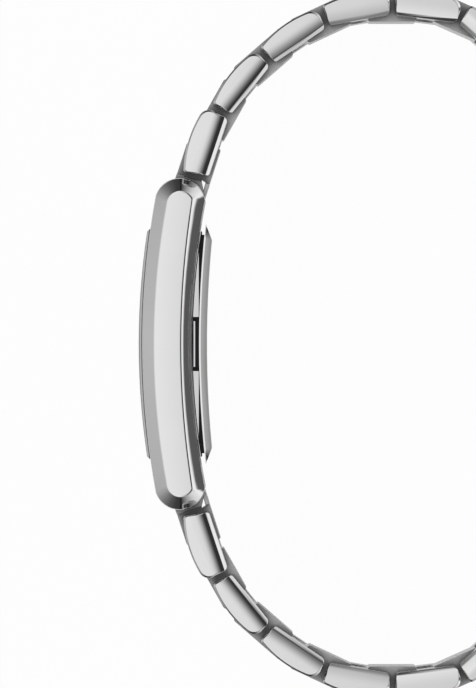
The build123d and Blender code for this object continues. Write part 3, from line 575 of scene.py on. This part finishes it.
def finish_table():
    """Name, builder and record slot of every finish.

    A grained one is given by its tint, roughness, metallic share, grains per metre and depth.
    """
    values = finishes()
    rubber = grained(values.rubber, 0.6, 0.0, 6000, 4 * MICRON)
    ink = grained(values.ink, 0.45, 0.0, 20000, MICRON)
    marker = grained(values.marker, 0.16, 1.0, 9000, 0.6 * MICRON)
    blued = grained(values.blued, 0.16, 1.0, 9000, 0.5 * MICRON)
    cell = grained(values.cell, 0.3, 1.0, 7000, 1.5 * MICRON)
    plastic = grained(values.plastic, 0.45, 0.0, 9000, 3 * MICRON)
    return {
        "case": ("case polish", case_polish, "polished_steel"),
        "link": ("link polish", link_polish, "link_steel"),
        "flank_painted_shade": ("link flank painted shade", flank_satin_painted_shade, "link_steel"),
        "recess_shade": ("painted recess shade", painted_recess_shade, "back_steel"),
        "back": ("case back polish", back_polish, "back_steel"),
        "satin": ("brushed steel", brushed_steel, "plain_steel"),
        "glass": ("clear crystal", crystal_glass, "crystal"),
        "rubber": ("gasket rubber", rubber, "gasket"),
        "dial": ("sunray dial", sunray_dial, "dial"),
        "ink": ("track ink", ink, "dial"),
        "marker": ("hour marker", marker, "marker"),
        "hand": ("blued steel", blued, "hand"),
        "brass": ("gilt brass", circular_brass, "brass"),
        "cell": ("cell case", cell, "cell"),
        "copper": ("wound copper", wound_copper, "copper"),
        "board": ("circuit board", green_board, "board"),
        "plastic": ("ring plastic", plastic, "plastic"),
    }


def get_finish(key):
    name, build, _ = finish_table()[key]
    return material(name, build)


def coat(key, *names):
    """Gives CAD nodes a finish."""
    for name in names:
        mesh = nodes[name].data
        mesh.materials.clear()
        mesh.materials.append(get_finish(key))


# ---- modelling ----

def object_mode():
    bpy.ops.object.mode_set(mode="OBJECT")


def deselect():
    if bpy.context.object and bpy.context.object.mode != "OBJECT":
        object_mode()
    bpy.ops.object.select_all(action="DESELECT")


def activate(*pieces):
    deselect()
    for piece in pieces:
        piece.select_set(True)
    bpy.context.view_layer.objects.active = pieces[0]


def edit_all(piece):
    """Goes into edit mode on a piece, with all of it selected."""
    activate(piece)
    bpy.ops.object.mode_set(mode="EDIT")
    bpy.ops.mesh.select_all(action="SELECT")


def duplicate(piece):
    activate(piece)
    bpy.ops.object.duplicate()
    return bpy.context.active_object


def apply_modifier(piece, kind, **settings):
    activate(piece)
    modifier = piece.modifiers.new(kind.lower(), kind)
    for name, value in settings.items():
        setattr(modifier, name, value)
    bpy.ops.object.modifier_apply(modifier=modifier.name)


def register_piece(piece, name, key, body, replaced=()):
    """Names a finished piece, gives it its finish, puts it on its body and hides the CAD nodes it
    replaces.
    """
    piece.name = name
    piece.data.name = name
    piece.data.materials.clear()
    piece.data.materials.append(get_finish(key))
    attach(piece, body)
    finish_table()[key][2]
    if replaced:
        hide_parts(*replaced)


def dressed(name, key, edge, segments=2, angle=28.0, clamp=True):
    """A copy of a CAD node that stands for it, merged, with edges over an angle rounded."""
    weld_distance, flat_angle = 0.5 * MICRON, 0.3
    piece = duplicate(nodes[name])
    del piece["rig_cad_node"]
    edit_all(piece)
    bpy.ops.mesh.customdata_custom_splitnormals_clear()
    bpy.ops.mesh.remove_doubles(threshold=weld_distance)
    bpy.ops.mesh.dissolve_limited(angle_limit=math.radians(flat_angle))
    object_mode()
    bpy.ops.object.shade_smooth()
    apply_modifier(
        piece, "BEVEL", width=edge, segments=segments, limit_method="ANGLE",
        angle_limit=math.radians(angle), use_clamp_overlap=clamp, harden_normals=True,
    )
    register_piece(piece, name + "_finished", key, body_of[name], [name])
    return piece


def paint_flank_shade(piece, key, low, high):
    """Gives the flat sides between two distances from the middle plane another finish, one that
    carries painted shade.
    """
    upright = 0.9
    piece.data.materials.append(get_finish(key))
    for face in piece.data.polygons:
        from_middle = abs(face.center.z - case_centre.z)
        if abs(face.normal.z) > upright and low < from_middle < high:
            face.material_index = 1


def rows(kind):
    return sorted(name for name in nodes if name.startswith(kind))


# ---- operators ----

class PolishCase(bpy.types.Operator):
    """Polishes the case middle with its rails, the case back and the crown"""
    bl_idname = "watch.polish_case"
    bl_label = "Polish the case"
    bl_options = {"REGISTER", "UNDO"}

    def execute(self, context):
        dressed("case_middle", "case", sizes().case_edge, angle=18.0, clamp=False)
        back = dressed("case_back", "back", sizes().fine_edge)
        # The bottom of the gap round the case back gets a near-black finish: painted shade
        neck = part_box("back_gasket")[1].z - case_centre.z - sizes().neck_depth
        leeway = 0.08 * MM
        paint_flank_shade(back, "recess_shade", neck - leeway, neck + leeway)
        dressed("crown", "case", sizes().edge)
        coat("rubber", "back_gasket", "crystal_gasket")
        deselect()
        return {"FINISHED"}


class FitCrystal(bpy.types.Operator):
    """Fits the crystal, with its ground sides"""
    bl_idname = "watch.fit_crystal"
    bl_label = "Fit the crystal"
    bl_options = {"REGISTER", "UNDO"}

    def execute(self, context):
        dressed("crystal", "glass", sizes().fine_edge, clamp=False)
        deselect()
        return {"FINISHED"}


class FinishDial(bpy.types.Operator):
    """Finishes the dial, its hour batons and the two hands"""
    bl_idname = "watch.finish_dial"
    bl_label = "Finish the dial"
    bl_options = {"REGISTER", "UNDO"}

    def execute(self, context):
        coat("dial", "dial")
        dressed("hour_markers", "marker", sizes().baton_edge, segments=1)
        dressed("hour_hand", "hand", sizes().fine_edge)
        dressed("minute_hand", "hand", sizes().fine_edge)
        deselect()
        return {"FINISHED"}


class PrintTrack(bpy.types.Operator):
    """Prints the minute track on the dial: two lines with a tick for each minute between them"""
    bl_idname = "watch.print_track"
    bl_label = "Print the minute track"
    bl_options = {"REGISTER", "UNDO"}

    def execute(self, context):
        values = sizes()
        front = dial_front - values.track_relief / 2
        outer = Vector((0, values.track_height, values.track_width))
        inner = outer - Vector((0, values.track_band, values.track_band))
        middle = (outer + inner) / 2
        parts = [self.line_frame(front, outer), self.line_frame(front, inner)]
        thin = self.tick(values.track_line)
        thick = self.tick(values.track_line * 3)
        tiny = 1e-6
        for minute in range(60):
            angle = math.radians(6 * minute)
            y, z = -math.cos(angle), -math.sin(angle)
            to_end = middle.y / max(abs(y), tiny)
            to_side = middle.z / max(abs(z), tiny)
            out = min(to_end, to_side)
            place = Vector((front, y * out, z * out + case_centre.z))
            pattern = thin if minute % 5 else thick
            parts.append(self.copy_tick(pattern, place, to_end < to_side))
        for pattern in (thin, thick):
            bpy.data.objects.remove(pattern)
        activate(*parts)
        bpy.ops.object.join()
        register_piece(bpy.context.active_object, "minute_track", "ink", body_of["dial"])
        deselect()
        return {"FINISHED"}

    def line_frame(self, front, half):
        """One printed line round a rectangle."""
        deselect()
        bpy.ops.mesh.primitive_plane_add(size=2, location=(0, 0, 0))
        line = bpy.context.active_object
        edit_all(line)
        bpy.ops.transform.resize(value=(half.z, half.y, 1))
        bpy.ops.mesh.inset(thickness=sizes().track_line)
        bpy.ops.mesh.delete(type="FACE")
        bpy.ops.mesh.select_all(action="SELECT")
        self.quarter_turn("Y")
        bpy.ops.transform.translate(value=(front, 0, case_centre.z))
        bpy.ops.mesh.normals_make_consistent(inside=False)
        object_mode()
        apply_modifier(line, "SOLIDIFY", thickness=sizes().track_relief, offset=0)
        edit_all(line)
        bpy.ops.mesh.normals_make_consistent(inside=False)
        object_mode()
        return line

    def quarter_turn(self, axis):
        bpy.ops.transform.rotate(
            value=math.pi / 2, orient_axis=axis, center_override=(0, 0, 0)
        )

    def tick(self, width):
        """One tick, lying along Y, at the origin."""
        deselect()
        relief = sizes().track_relief
        bpy.ops.mesh.primitive_cube_add(size=1, location=(0, 0, 0))
        mark = bpy.context.active_object
        edit_all(mark)
        bpy.ops.transform.resize(value=(relief, sizes().track_band, width))
        bpy.ops.mesh.bevel(offset=relief / 4, segments=1)
        object_mode()
        return mark

    def copy_tick(self, pattern, place, on_end):
        """A copy of a tick at its place, turned across the line of the track there."""
        mark = duplicate(pattern)
        edit_all(mark)
        if not on_end:
            self.quarter_turn("X")
        bpy.ops.transform.translate(value=place)
        object_mode()
        return mark


class DressBracelet(bpy.types.Operator):
    """Polishes the links of the bracelet and gives the sides between them satin steel with painted
    shade in the gaps
    """
    bl_idname = "watch.dress_bracelet"
    bl_label = "Dress the bracelet"
    bl_options = {"REGISTER", "UNDO"}

    def execute(self, context):
        for name in rows("outer_links"):
            dressed(name, "link", sizes().edge)
        reach = pad_height - case_centre.z - sizes().pad_depth
        for name in rows("centre_link") + rows("end_link"):
            # The flanks of the centre and end links get satin steel with painted shade deep in the
            # gaps
            paint_flank_shade(dressed(name, "link", sizes().edge), "flank_painted_shade", 0, reach)
        coat("satin", "lug_spring_bars")
        deselect()
        return {"FINISHED"}


class DressClasp(bpy.types.Operator):
    """Finishes the folding clasp: polished cover, brushed blades and its small parts"""
    bl_idname = "watch.dress_clasp"
    bl_label = "Dress the clasp"
    bl_options = {"REGISTER", "UNDO"}

    def execute(self, context):
        dressed("clasp_cover", "link", sizes().edge)
        for part in ("middle_blade", "bottom_blade", "button_left", "button_right"):
            dressed("clasp_" + part, "satin", sizes().edge)
        coat("satin", "clasp_hinge_pins", "clasp_spring_bar")
        deselect()
        return {"FINISHED"}


class FinishMovement(bpy.types.Operator):
    """Gives the parts of the movement their finishes"""
    bl_idname = "watch.finish_movement"
    bl_label = "Finish the movement"
    bl_options = {"REGISTER", "UNDO"}

    def execute(self, context):
        coat("brass", "centre_wheel", "hour_wheel", "minute_wheel")
        coat("brass", "main_plate", "train_bridge", "rotor")
        coat("cell", "battery")
        coat("copper", "coil")
        coat("board", "circuit_board")
        coat("plastic", "movement_ring")
        coat("satin", "winding_stem", "setting_lever")
        deselect()
        return {"FINISHED"}


class SetStage(bpy.types.Operator):
    """Sets up the floor, the light tent, the world and the camera"""
    bl_idname = "watch.set_stage"
    bl_label = "Set the stage"
    bl_options = {"REGISTER", "UNDO"}

    def execute(self, context):
        self.make_floor()
        self.make_tent()
        self.make_world()
        self.make_camera()
        bpy.context.scene.view_settings.view_transform = "Standard"
        deselect()
        return {"FINISHED"}

    def make_floor(self):
        deselect()
        bpy.ops.mesh.primitive_plane_add(size=stage_values().floor_size, location=(0, 0, 0))
        floor = bpy.context.active_object
        floor.name = "floor"
        floor.data.materials.append(material("white floor", self.floor_paint))

    def floor_paint(self, finish):
        """White paint that keeps a shadow, and shows almost white to the camera and in glass."""
        glow = {
            "Is Camera Ray": stage_values().floor_glow,
            "Is Transmission Ray": stage_values().floor_glow,
            "Is Glossy Ray": stage_values().floor_reflected,
        }
        seen = sum(
            finish.node("ShaderNodeLightPath", output=ray) * amount
            for ray, amount in glow.items()
        )
        white = finish.node("ShaderNodeEmission", {}, {"Strength": 1.0})
        paint = finish.node("ShaderNodeBsdfDiffuse", {}, {"Color": grey(0.95)})
        finish.surface(finish.node("ShaderNodeMixShader", {}, (seen, paint, white)))

    def make_tent(self):
        deselect()
        values = stage_values()
        bpy.ops.mesh.primitive_uv_sphere_add(
            segments=values.tent_segments, ring_count=values.tent_segments // 2,
            radius=values.tent_radius,
        )
        tent = bpy.context.active_object
        tent.name = "tent"
        tent.visible_camera = False
        tent.data.materials.append(material("tent cloth", self.tent_cloth))

    def tent_cloth(self, finish):
        """Lit cloth: bright overhead, grey low on the dial side, dark strips elsewhere.

        Of a point on the tent, side is how far it leans to the clasp's side, tilt how far it is
        from straight up, and turn how far round it is from the clasp's side, all in degrees.
        """
        centred = finish.node(
            "ShaderNodeVectorMath", {"operation": "NORMALIZE"}, (finish.place(),)
        )
        x, y, z = finish.axes(centred)
        degrees = 180 / math.pi
        side = finish.maths("ARCSINE", x) * degrees
        tilt = finish.maths("ARCCOSINE", z) * degrees
        turn = abs(finish.maths("ARCTAN2", y, x)) * degrees
        across = finish.ramp(side, -90, 90, (
            (-90, 0.07), (-84, 0.08), (-79, 0.52), (-60, 0.6), (-12, 0.86), (-4, 0.88),
            (0, 0.76), (4, 0.65), (10, 0.46), (18, 0.2), (25, 0.03), (46, 0.03), (54, 0.94),
            (64, 0.94), (70, 0.1), (90, 0.1),
        ))
        round_the_foot = finish.ramp(turn, 0, 180, (
            (0, 0.96), (30, 0.9), (50, 0.7), (70, 0.35), (87, 0.08), (90, 0.01), (92, 0.01),
            (94, 0.04), (105, 0.05), (120, 0.1), (135, 0.2), (150, 0.34), (165, 0.46),
            (180, 0.53),
        ))
        foot = tilt.step(50, 66) * turn.step(18, 40)
        lowest_dial_side = tilt.step(82, 86) * turn.step(100, 140)
        level = across * (1 - foot) + round_the_foot * foot * (1 - lowest_dial_side * 0.86)
        finish.surface(finish.node("ShaderNodeEmission", {}, {"Strength": level}))

    def make_world(self):
        world = bpy.data.worlds.new("studio")
        bpy.context.scene.world = world
        world.use_nodes = True
        background = world.node_tree.nodes["Background"]
        background.inputs["Color"].default_value = grey(1.0)
        background.inputs["Strength"].default_value = 1.0

    def make_camera(self):
        values = stage_values()
        place = (values.camera_side, 0, pad_height + values.camera_distance)
        bpy.ops.object.camera_add(location=place, rotation=(0, 0, 0))
        camera = bpy.context.active_object
        camera.name = "camera"
        optics = camera.data
        optics.lens = optics.sensor_width * values.camera_distance / values.view_height
        optics.clip_end = values.camera_distance + values.floor_size
        bpy.context.scene.camera = camera


operators = (
    PolishCase, FitCrystal, FinishDial, PrintTrack, DressBracelet, DressClasp, FinishMovement,
    SetStage,
)


class WatchPanel(bpy.types.Panel):
    """Panel of the watch in the sidebar"""
    bl_idname = "VIEW3D_PT_watch"
    bl_label = "Rectangular wristwatch"
    bl_space_type = "VIEW_3D"
    bl_region_type = "UI"
    bl_category = "Watch"

    def draw(self, context):
        for operator in operators:
            self.layout.operator(operator.bl_idname, text=operator.bl_label)
        for name in groups:
            group = getattr(context.scene, name)
            box = self.layout.box()
            for entry in group.__annotations__:
                box.prop(group, entry)


groups = {
    "watch_finishes": WatchFinishes,
    "watch_sizes": WatchSizes,
    "watch_stage": WatchStage,
}


def register():
    for group in groups.values():
        bpy.utils.register_class(group)
    for name, group in groups.items():
        setattr(bpy.types.Scene, name, PointerProperty(type=group))
    for operator in operators:
        bpy.utils.register_class(operator)
    bpy.utils.register_class(WatchPanel)


def unregister():
    bpy.utils.unregister_class(WatchPanel)
    for operator in reversed(operators):
        bpy.utils.unregister_class(operator)
    for name, group in groups.items():
        delattr(bpy.types.Scene, name)
        bpy.utils.unregister_class(group)


def main():
    register()
    bpy.ops.watch.set_stage()
    bpy.ops.watch.polish_case()
    bpy.ops.watch.fit_crystal()
    bpy.ops.watch.finish_dial()
    bpy.ops.watch.print_track()
    bpy.ops.watch.dress_bracelet()
    bpy.ops.watch.dress_clasp()
    bpy.ops.watch.finish_movement()


if __name__ == "__main__":
    main()
